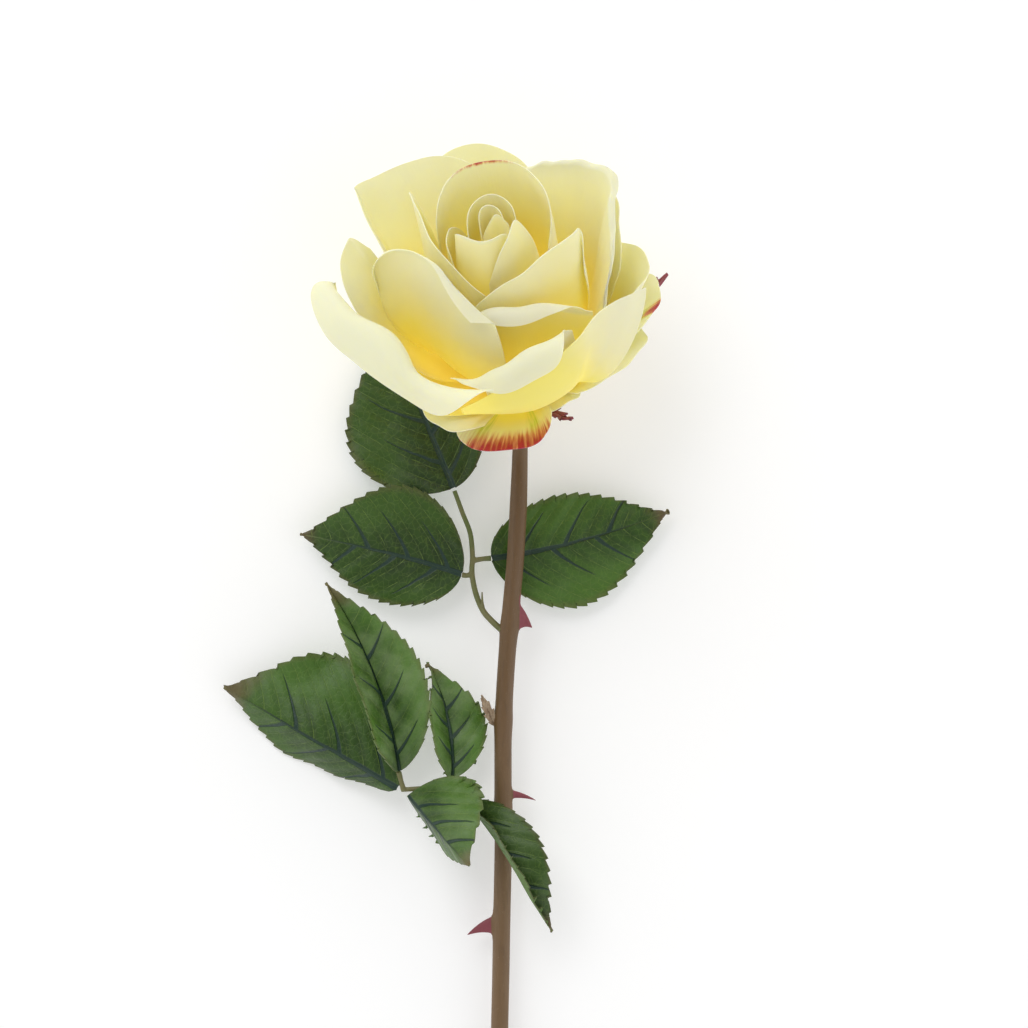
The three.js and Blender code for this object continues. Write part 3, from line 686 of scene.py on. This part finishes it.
# ---- The stem ------------------------------------------------------------------------------
# A long woody stem, moulded in brown plastic over a wire, cut square at its end. Three flat
# dark red prickles are part of the same moulding and hook back towards the cut.
STEM_LENGTH = 324
STEM_RADIUS_CUT = 3
STEM_RADIUS_NECK = 2.3
STEM_RISE = 16
STEM_SIDE = (1, 0.6, -0.5, -3.1, -5, -5, -5.2, -6, -6.3, -6.4, -6.4, -6.4)
STEM_STATIONS = (0.16, 0.2, 0.25, 0.31, 0.37, 0.43, 0.49, 0.6, 0.7, 0.78, 0.85, 0.92, 1)
UPPER_NODE = -87
BRACT_NODE = -119
LOWER_NODE = -149.5
KNOT_HEIGHT = 0.35  # how far the bark swells where a leaf or the bract stands
KNOT_LENGTH = 3.5


def stem_at(y):
    """The stem's centreline beside the hip, y millimetres along from it."""
    t = (-y - 30) / (STEM_LENGTH - 30)
    height = STEM_RISE + (STEM_RADIUS_CUT - STEM_RISE) * t
    return Vector((float(smooth_run(STEM_SIDE, -y / STEM_LENGTH)), y, height))


ON_TABLE = Matrix.Translation((HIP_CENTRE.x, HIP_CENTRE.y, 0)) @ Matrix.Scale(MM, 4)
neck = ON_TABLE.inverted() @ HEAD @ Vector((0, 0, -HIP_HALF_HEIGHT - PETAL_CLEARANCE))


def rod(name, line, radius_at, around, rings):
    """A closed rod along a smooth line of points, its rings even from end to end."""
    bpy.ops.object.select_all(action="DESELECT")
    bpy.ops.mesh.primitive_cylinder_add(vertices=around, radius=1, depth=2)
    made = bpy.context.object
    made.name = name
    bpy.ops.object.mode_set(mode="EDIT")
    bpy.ops.mesh.select_mode(type="EDGE")
    bpy.ops.mesh.select_all(action="DESELECT")
    bpy.ops.object.mode_set(mode="OBJECT")
    for edge in made.data.edges:
        low, high = (made.data.vertices[k].co.z for k in edge.vertices)
        edge.select = abs(low - high) > 1
    bpy.ops.object.mode_set(mode="EDIT")
    bpy.ops.mesh.subdivide(number_cuts=rings)
    bpy.ops.object.mode_set(mode="OBJECT")
    where = get_points(made)
    t = (where[:, 2] + 1) / 2
    angle = np.arctan2(where[:, 1], where[:, 0])
    before, centre, after = (
        np.stack([smooth_run([p[k] for p in line], t + step) for k in range(3)], 1)
        for step in (-1e-3, 0, 1e-3)
    )
    ahead = after - before
    ahead /= np.linalg.norm(ahead, axis=1)[:, None]
    side = np.cross(ahead, [0, 0, 1])
    side /= np.linalg.norm(side, axis=1)[:, None]
    up = np.cross(side, ahead)
    radius = radius_at(centre, t, angle)[:, None]
    points = centre + radius * (np.cos(angle)[:, None] * side + np.sin(angle)[:, None] * up)
    put_points(made, points, ON_TABLE)
    return made


def stem_radius(centre, t, angle):
    """The stem's radius, growing from the neck to the cut, with knots and a slight grain."""
    y = centre[:, 1]
    plain = STEM_RADIUS_NECK + (STEM_RADIUS_CUT - STEM_RADIUS_NECK) * np.clip((-y - 8) / 36, 0, 1)
    for joint in (UPPER_NODE, BRACT_NODE, LOWER_NODE):
        plain = plain + KNOT_HEIGHT * np.exp(-(((y - joint) / KNOT_LENGTH) ** 2))
    grain = 0.05 * np.sin(5 * angle + y / 13) + 0.04 * np.sin(3 * angle - y / 7)
    return plain + grain


stem_line = [
    neck,
    neck + Vector((0.1, -6.5, -4.6)),
    stem_at(-26),
    stem_at(-40),
    *[stem_at(-STEM_LENGTH * t) for t in STEM_STATIONS],
]
stem = rod("woody_stem", stem_line, stem_radius, 30, 210)

PRICKLES = (
    {"y": -83, "side": 1, "reach": 7.4, "foot": 9},
    {"y": -144, "side": 1, "reach": 11.4, "foot": 5},
    {"y": -190, "side": -1, "reach": 12, "foot": 8},
)
PRICKLE_STEPS = 6
PRICKLE_HALF_THICK = 0.0016
PRICKLE_ROOT = 2.9  # out from the stem's centreline
for prickle in PRICKLES:
    root = ON_TABLE @ stem_at(prickle["y"])
    half_foot = prickle["foot"] / 2 * MM
    bpy.ops.object.mode_set(mode="EDIT")
    bpy.ops.mesh.select_mode(type="FACE")
    bpy.ops.mesh.select_all(action="DESELECT")
    bpy.ops.object.mode_set(mode="OBJECT")
    for face in stem.data.polygons:
        place = face.center - root
        outward = place.x * prickle["side"]
        spread = (place.y / half_foot) ** 2 + (place.z / PRICKLE_HALF_THICK) ** 2
        face.select = outward > 0 and spread < 1
    bpy.ops.object.mode_set(mode="EDIT")
    grow = (prickle["reach"] - PRICKLE_ROOT) * MM
    for step in range(PRICKLE_STEPS):
        share = (step + 1) / PRICKLE_STEPS
        thin = ((1 - share) ** 0.9 + 0.03) / ((1 - share + 1 / PRICKLE_STEPS) ** 0.9 + 0.03)
        ahead = (prickle["side"] * grow / PRICKLE_STEPS, -0.42 * half_foot * share * 0.6, 0)
        bpy.ops.mesh.extrude_region_move(TRANSFORM_OT_translate={"value": ahead})
        bpy.ops.object.mode_set(mode="OBJECT")
        chosen = [p for p in stem.data.polygons if p.select]
        corners = {k for p in chosen for k in p.vertices}
        centre = sum((stem.data.vertices[k].co for k in corners), Vector()) / len(corners)
        for k in corners:
            place = stem.data.vertices[k].co
            place.x = centre.x + (place.x - centre.x) * (0.3 if step == 0 else thin)
            place.y = centre.y + (place.y - centre.y) * thin
            place.z = centre.z + (place.z - centre.z) * thin
        bpy.ops.object.mode_set(mode="EDIT")
    bpy.ops.object.mode_set(mode="OBJECT")

# The red of the prickles is kept to what stands out past the bark.
points = get_points(stem)
inverse = np.array(ON_TABLE.inverted())
local = points @ inverse[:3, :3].T + inverse[:3, 3]
thorn = np.zeros(len(local))
for prickle in PRICKLES:
    root = stem_at(prickle["y"])
    near = np.abs(local[:, 1] - prickle["y"]) < prickle["foot"]
    far = (local[:, 0] - root.x) * prickle["side"]
    thorn = np.maximum(thorn, near * np.clip((far - 2.7) / 1.0, 0, 1))
paint_value(stem, "thorn", thorn)
rounding = stem.modifiers.new("rounding", "SUBSURF")
rounding.levels = 1
rounding.render_levels = 1
bpy.ops.object.modifier_apply(modifier=rounding.name)
bpy.ops.object.shade_smooth_by_angle(angle=math.radians(50))

bark, tree, skin = new_finish("brown_bark")
fine = cloudy(tree, 900, 5, (1, 0.16, 1))
patches = cloudy(tree, 60, 3, (1, 0.4, 1))
pores = cloudy(tree, 2500, 2)
mottle = fade(tree, patches, 0.35, 0.65)
base = blend_colours(tree, mottle, (0.135, 0.074, 0.028), (0.17, 0.100, 0.044))
base = tinted(tree, base, fade(tree, fine, 0.5, 0.75), 0.4, (0.09, 0.052, 0.022))
base = tinted(tree, base, fade(tree, pores, 0.68, 0.78), 0.5, (0.36, 0.29, 0.2))
thorny = painted_value(tree, "thorn")
thorny = sum_of(tree, "MULTIPLY_ADD", sum_of(tree, "SUBTRACT", fine, 0.5), 0.6, thorny)
base = blend_colours(tree, fade(tree, thorny, 0.3, 0.7), base, (0.23, 0.05, 0.065))
relief = sum_of(tree, "MULTIPLY_ADD", pores, 0.35, fine)
dress(tree, skin, base, sum_of(tree, "MULTIPLY_ADD", patches, 0.25, 0.38), relief, 0.00025)
stem.data.materials.append(bark)
finish_piece(stem, "stem", "stem")

# ---- The leaf stalks -----------------------------------------------------------------------
# Thin olive stalks, each moulded in one with its side branches and set against the stem. The
# upper one carries three leaflets and a thread-like stipule, the lower one five leaflets.
# Places are from the stem's centreline at the leaf's own height on it.
# Each leaflet carries two numbers besides its shape: one scales its greens, partly its own tone and
# partly painted light where it catches the window's sheen, and the last sets the strength of its
# painted sheen.
LEAVES = {
    "upper": {
        "y": UPPER_NODE,
        "stalks": [
            [(-2.4, -0.6, -0.2), (-3.4, 0, -0.5), (-6.3, 2.7, -1), (-9.1, 6.1, -2),
             (-11.5, 11.9, -3), (-12.8, 18.8, -3.8), (-12.6, 24.5, -4), (-13.4, 32.4, -4),
             (-16, 39.3, -3.7), (-18.8, 47, -3.5)],
            [(-12.6, 23, -4), (-9, 23.6, -4), (-6.2, 23.8, -4)],
            [(-12.8, 18.6, -3.8), (-14.4, 17.9, -3.8), (-16.2, 18.1, -3.6)],
            [(-8.8, 6.4, -2), (-9.2, 9, -0.6), (-9.3, 12.4, 0.4)],
        ],
        "leaflets": [
            {"base": (-19.2, 48, -3.4), "tip": (-43, 104, -9), "left": 28, "right": 20, "arch": -1,
             "tilt": (-2, 4), "tone_and_sheen": 0.55, "bloom": 0},
            {"base": (-16.4, 18.4, -3.4), "tip": (-72, 32, -7), "left": 17, "right": 24,
             "arch": 1.5, "tilt": (-6, 2), "bow": 1, "tone_and_sheen": 0.6, "bloom": 0},
            {"base": (-5.9, 23.8, -4), "tip": (55, 40, -6), "left": 17, "right": 22, "arch": -1.5,
             "tilt": (-2, -4), "bow": 2, "tone_and_sheen": 0.95, "bloom": 0.04},
        ],
    },
    "lower": {
        "y": LOWER_NODE,
        "stalks": [
            [(-2.4, -0.6, 0), (-3.4, 0, 0), (-11.2, 4.1, 0.8), (-18, 7.2, 1.2), (-26.5, 7.5, 1.6),
             (-35, 7, 1.6)],
            [(-34.2, 7, 1.6), (-35, 10, 2.2), (-35.8, 13.2, 2.9)],
            [(-18, 7.2, 1.2), (-18, 9, 1.2), (-18, 10.8, 1.2)],
        ],
        "leaflets": [
            {"base": (-36.4, 7.6, 1.6), "tip": (-96, 42, -4), "left": 14, "right": 30, "arch": 2,
             "tilt": (-50, -6), "widest": 1.1, "tone_and_sheen": 0.9, "bloom": 0.08},
            {"base": (-36, 13.6, 3), "tip": (-60.5, 78, 9), "left": 15, "right": 17, "arch": 3,
             "tilt": (66, 8), "bow": 4, "tone_and_sheen": 1.1, "bloom": 0.6},
            {"base": (-18, 11, 1.2), "tip": (-26, 50, -2), "left": 12, "right": 13, "arch": 0,
             "tilt": (62, -8), "bow": 3, "tone_and_sheen": 1.2, "bloom": 0.6},
            {"base": (-33, 5, 3.3), "tip": (-11.5, -17, 26), "left": 21, "right": 14, "arch": 2,
             "tilt": (-8, -74), "tone_and_sheen": 1.0, "bloom": 0.35},
            {"base": (-11.4, 2.2, 0.8), "tip": (16.5, -41, 6), "left": 13, "right": 9, "arch": 9,
             "tilt": (8, 104), "bow": -1, "tone_and_sheen": 0.55, "bloom": 0.2},
        ],
    },
}
STALK_REMESH = 0.0002

stalk_finish, tree, skin = new_finish("stalk_olive")
grain = cloudy(tree, 700, 4)
patches = cloudy(tree, 90, 2)
mottle = fade(tree, patches, 0.35, 0.65)
base = blend_colours(tree, mottle, (0.10, 0.135, 0.03), (0.165, 0.155, 0.06))
base = tinted(tree, base, fade(tree, grain, 0.55, 0.75), 0.5, (0.12, 0.09, 0.04))
dress(tree, skin, base, 0.48, grain, 0.00025)

for leaf_name, leaf in LEAVES.items():
    joint = stem_at(leaf["y"])
    branches = []
    for i, stalk in enumerate(leaf["stalks"]):
        long = len(stalk) > 3
        if long:
            taper = lambda centre, t, angle: 0.8 + 0.35 * (1 - t) + 0.9 * np.exp(-((t / 0.05) ** 2))
        elif leaf_name == "upper" and i == 3:
            taper = lambda centre, t, angle: 0.6 - 0.32 * t
        else:
            taper = lambda centre, t, angle: 0.85 + 0.15 * np.abs(2 * t - 1)
        line = [joint + Vector(p) for p in stalk]
        branches.append(rod(f"{leaf_name}_branch_{i}", line, taper, 16, 70 if long else 16))
    for branch in branches:
        branch.select_set(True)
    bpy.context.view_layer.objects.active = branches[0]
    bpy.ops.object.join()
    stalk = bpy.context.object
    stalk.name = f"{leaf_name}_stalk"
    merge = stalk.modifiers.new("merge", "REMESH")
    merge.mode = "VOXEL"
    merge.voxel_size = STALK_REMESH
    bpy.ops.object.modifier_apply(modifier=merge.name)
    soften = stalk.modifiers.new("soften", "SMOOTH")
    soften.factor = 0.5
    soften.iterations = 4
    bpy.ops.object.modifier_apply(modifier=soften.name)
    bpy.ops.object.shade_smooth()
    stalk.data.materials.clear()
    stalk.data.materials.append(stalk_finish)
    finish_piece(stalk, "leaf_stalks", f"{leaf_name}_leaf_stalk")

# ---- The leaflets --------------------------------------------------------------------------
# Eight leaflets of waxed cloth with saw-toothed margins, pressed between brass veining
# plates. Thick blue-green veins are brushed on over the pressed fine ones, the tips are
# tinted red-brown, and the underside is left paler.
LEAF_CLOTH = 0.4
TOOTH_PITCH = 3.9  # length of one tooth along the blade
TOOTH_DEPTH = 1.1
LEAF_PUCKER = 0.12
LEAF_DENT = 0.0016  # depth and spacing in metres of the softness in the cloth
LEAF_DENT_SPACING = 0.014
VEIN_INPUTS = ("First Vein", "Vein Spacing", "Length", "Side Reach")
MAP_SCALE = 100  # millimetres to one unit of the blade's own map

veining = bpy.data.node_groups.new("pressed_veins", "ShaderNodeTree")
for label in VEIN_INPUTS:
    veining.interface.new_socket(label, in_out="INPUT", socket_type="NodeSocketFloat")
for label in ("Painted", "Fine", "Quilting", "Outward", "Margin", "Tip"):
    veining.interface.new_socket(label, in_out="OUTPUT", socket_type="NodeSocketFloat")
given = veining.nodes.new("NodeGroupInput").outputs
put_out = veining.nodes.new("NodeGroupOutput").inputs
where = node(veining, "ShaderNodeUVMap", {"uv_map": "blade_map"}).outputs[0]
parts = node(veining, "ShaderNodeSeparateXYZ", Vector=where).outputs
wander = node(veining, "ShaderNodeTexNoise", Vector=where, Scale=9.0, Detail=2.0).outputs["Fac"]
wander = sum_of(veining, "SUBTRACT", wander, 0.5)
x = sum_of(veining, "MULTIPLY", sum_of(veining, "SUBTRACT", parts[0], 0.5), MAP_SCALE)
y = sum_of(veining, "MULTIPLY", parts[1], MAP_SCALE)
aside = sum_of(veining, "ABSOLUTE", sum_of(veining, "MULTIPLY_ADD", wander, 0.8, x))
share = sum_of(veining, "DIVIDE", y, given["Length"])
# The midrib narrows to nothing a little short of the tip.
rib_width = sum_of(veining, "MULTIPLY", sum_of(veining, "SUBTRACT", 0.93, share), 1.25)
painted = fade(veining, sum_of(veining, "SUBTRACT", rib_width, aside), -0.25, 0.3)
# Side veins leave it at an angle and bend forward, the left ones a little further on.
left_shift = sum_of(veining, "MULTIPLY", sum_of(veining, "LESS_THAN", x, 0.0), 4.5)
bend = sum_of(veining, "MULTIPLY", sum_of(veining, "POWER", aside, VEIN_CURVE), VEIN_BEND)
along_rib = sum_of(veining, "MULTIPLY_ADD", wander, 1.6, sum_of(veining, "SUBTRACT", y, bend))
first_at = sum_of(veining, "ADD", given["First Vein"], left_shift)
from_first = sum_of(veining, "SUBTRACT", along_rib, first_at)
to_reach = sum_of(veining, "SUBTRACT", 1.0, sum_of(veining, "DIVIDE", aside, given["Side Reach"]))
side_width = sum_of(veining, "MULTIPLY_ADD", to_reach, 0.85, 0.1)
for order in range(3):
    vein_at = sum_of(veining, "MULTIPLY", given["Vein Spacing"], float(order))
    distance = sum_of(veining, "ABSOLUTE", sum_of(veining, "SUBTRACT", from_first, vein_at))
    line = fade(veining, sum_of(veining, "SUBTRACT", side_width, distance), -0.3, 0.3)
    line = sum_of(veining, "MULTIPLY", line, fade(veining, to_reach, 0.0, 0.12))
    painted = sum_of(veining, "MAXIMUM", painted, line)
veining.links.new(painted, put_out["Painted"])
veining.links.new(fade(veining, to_reach, 1.0, -0.4), put_out["Outward"])
# Fine veins run close beside each other, and a net of finer ones joins them.
beat = sum_of(veining, "PINGPONG", along_rib, VEIN_PERIOD / 2)
ridge = fade(veining, beat, 0.26, 0.04)
net = node(
    veining, "ShaderNodeTexVoronoi", {"feature": "DISTANCE_TO_EDGE"}, Vector=where, Scale=46.0
).outputs["Distance"]
net_line = fade(veining, net, 0.06, 0.0)
gaps = node(veining, "ShaderNodeTexNoise", Vector=where, Scale=34.0).outputs["Fac"]
broken = fade(veining, gaps, 0.4, 0.6)
fine_line = sum_of(veining, "MULTIPLY", ridge, sum_of(veining, "MULTIPLY_ADD", broken, 0.8, 0.2))
fine_line = sum_of(veining, "MAXIMUM", fine_line, sum_of(veining, "MULTIPLY", net_line, 0.35))
centre_line = fade(veining, aside, 0.3, 0.1)
veining.links.new(sum_of(veining, "MAXIMUM", fine_line, centre_line), put_out["Fine"])
veining.links.new(fade(veining, beat, 0.0, VEIN_PERIOD / 2), put_out["Quilting"])
edge_map = node(veining, "ShaderNodeUVMap", {"uv_map": "UVMap"}).outputs[0]
edge_u = node(veining, "ShaderNodeSeparateXYZ", Vector=edge_map).outputs[0]
from_middle = sum_of(veining, "ABSOLUTE", sum_of(veining, "MULTIPLY_ADD", edge_u, 2.0, -1.0))
veining.links.new(fade(veining, from_middle, 0.86, 1.0), put_out["Margin"])
ragged_share = sum_of(veining, "MULTIPLY_ADD", wander, 0.2, share)
veining.links.new(fade(veining, ragged_share, 0.84, 1.0), put_out["Tip"])


def veins_in(tree, *values):
    """The vein pattern's outputs in a material, its inputs set in the order of VEIN_INPUTS."""
    veins = tree.nodes.new("ShaderNodeGroup")
    veins.node_tree = veining
    for label, value in zip(VEIN_INPUTS, values):
        veins.inputs[label].default_value = value
    return veins.outputs


def leaf_finish(name, length, half_width, dark, light, bloom):
    """Waxed cloth for one leaflet, with its greens, its veins and painted sheen, pale patches that
    stand for window light on the satin.
    """
    finish, tree, skin = new_finish(name)
    veins = veins_in(tree, 0.08 * length, 0.25 * length, length, 0.68 * half_width)
    patches = cloudy(tree, 32, 3)
    grain = cloudy(tree, 1100, 3)
    share = sum_of(tree, "MULTIPLY_ADD", veins["Outward"], 0.3, patches)
    base = blend_colours(tree, fade(tree, share, 0.42, 0.8), dark, light)
    crumple = cloudy(tree, 110, 5)
    # Painted sheen: pale patches where the satin cloth would catch the window light, stronger on
    # the tilted lower leaflets.
    base = tinted(tree, base, fade(tree, crumple, 0.3, 0.75), bloom, (0.21, 0.30, 0.13))
    # Painted light: a lighter copy of the green on the swells between the side veins, where they
    # would catch the light.
    base = tinted(tree, base, veins["Quilting"], 0.2, tuple(1.35 * c for c in light))
    base = tinted(tree, base, veins["Fine"], 0.45, (0.20, 0.31, 0.05))
    base = tinted(tree, base, veins["Painted"], 0.92, (0.012, 0.036, 0.028))
    rust_edge = sum_of(tree, "MULTIPLY", veins["Margin"], 0.35)
    rusty = sum_of(tree, "MAXIMUM", veins["Tip"], rust_edge)
    base = tinted(tree, base, rusty, 0.75, (0.16, 0.10, 0.055))
    raised = sum_of(tree, "MULTIPLY_ADD", crumple, 3.0, sum_of(tree, "MULTIPLY", grain, 0.2))
    raised = sum_of(tree, "MULTIPLY_ADD", veins["Quilting"], 0.6, raised)
    raised = sum_of(tree, "MULTIPLY_ADD", veins["Fine"], -0.35, raised)
    raised = sum_of(tree, "MULTIPLY_ADD", veins["Painted"], -1.1, raised)
    gloss = sum_of(tree, "MULTIPLY_ADD", patches, 0.2, 0.32)
    dress(tree, skin, base, gloss, raised, 0.00025)
    skin.inputs["Specular IOR Level"].default_value = 0.4
    return finish


under_leaf, tree, skin = new_finish("leaf_underside")
veins = veins_in(tree, 6, 14, 62, 14)
patches = cloudy(tree, 80, 3)
base = blend_colours(tree, patches, (0.085, 0.16, 0.03), (0.13, 0.23, 0.05))
base = tinted(tree, base, veins["Fine"], 0.5, (0.2, 0.3, 0.1))
base = tinted(tree, base, veins["Tip"], 0.6, (0.17, 0.12, 0.07))
raised = sum_of(tree, "MULTIPLY_ADD", veins["Painted"], 0.8, veins["Fine"])
dress(tree, skin, base, 0.6, raised, 0.0003)

LEAF_DARK = (0.020, 0.055, 0.004)
LEAF_LIGHT = (0.062, 0.145, 0.014)
for leaf_name, leaf in LEAVES.items():
    joint = stem_at(leaf["y"])
    for number, leaflet in enumerate(leaf["leaflets"], 1):
        name = f"{leaf_name}_leaflet_{number}"
        base, tip = (joint + Vector(leaflet[end]) for end in ("base", "tip"))
        blade = {**leaflet, "base": base, "tip": tip}
        sheet, u, v = flat_sheet(name + "_blade", 36, 150)
        length = (tip - base).length
        teeth = round(length / TOOTH_PITCH)
        points, across, onward = blade_points(blade, u, v, teeth, TOOTH_DEPTH, LEAF_PUCKER)
        put_points(sheet, points, ON_TABLE)
        blade_map = sheet.data.uv_layers.new(name="blade_map")
        corners = np.empty(len(sheet.data.loops), np.int32)
        sheet.data.loops.foreach_get("vertex_index", corners)
        spots = np.stack([across[corners] / MAP_SCALE + 0.5, onward[corners] / MAP_SCALE], 1)
        blade_map.data.foreach_set("uv", spots.astype(np.float32).ravel())
        sheet.data.uv_layers["UVMap"].active_render = True
        seed = 60 + number + (10 if leaf_name == "upper" else 0)
        dent(sheet, LEAF_DENT * (0.3 + np.abs(u)), LEAF_DENT_SPACING, seed)
        half_width = (leaflet["left"] + leaflet["right"]) / 2
        # Each leaflet's greens are scaled up or down: partly its own tone, partly painted light,
        # lighter on the lower leaflets that catch the window's sheen.
        dark = tuple(c * leaflet["tone_and_sheen"] for c in LEAF_DARK)
        light = tuple(c * leaflet["tone_and_sheen"] for c in LEAF_LIGHT)
        bloom = leaflet["bloom"]
        upper_side = leaf_finish(name + "_green", length, half_width, dark, light, bloom)
        sheet.data.materials.append(upper_side)
        sheet.data.materials.append(under_leaf)
        make_thick(sheet, LEAF_CLOTH, under_offset=1)
        finish_piece(sheet, "leaves", name)

# ---- The dry bract -------------------------------------------------------------------------
# A withered scale left where a side shoot was taken off: a scrap of tan papery skin, ragged
# at its end, glued against the stem.
BRACT_THICKNESS = 0.3
joint = stem_at(BRACT_NODE)
blade = {
    "base": joint + Vector((-2.9, -1.5, 0)), "tip": joint + Vector((-7.5, 9, 1)),
    "left": 1.7, "right": 1.9, "arch": 0.5, "tilt": (20, 20),
}
sheet, u, v = flat_sheet("dry_bract_scale", 16, 40)
points, _, _ = blade_points(blade, u, v, teeth=4, tooth=1.3, pucker=0.2)
put_points(sheet, points, ON_TABLE)
dent(sheet, 0.0012 * v, 0.003, 90)
make_thick(sheet, BRACT_THICKNESS)
paper, tree, skin = new_finish("dry_paper")
streaks = cloudy(tree, 1500, 4, (1, 0.3, 1))
base = blend_colours(tree, fade(tree, streaks, 0.3, 0.7), (0.40, 0.31, 0.21), (0.24, 0.16, 0.10))
dress(tree, skin, base, 0.8, streaks, 0.0003)
sheet.data.materials.append(paper)
finish_piece(sheet, "bract", "dry_bract")
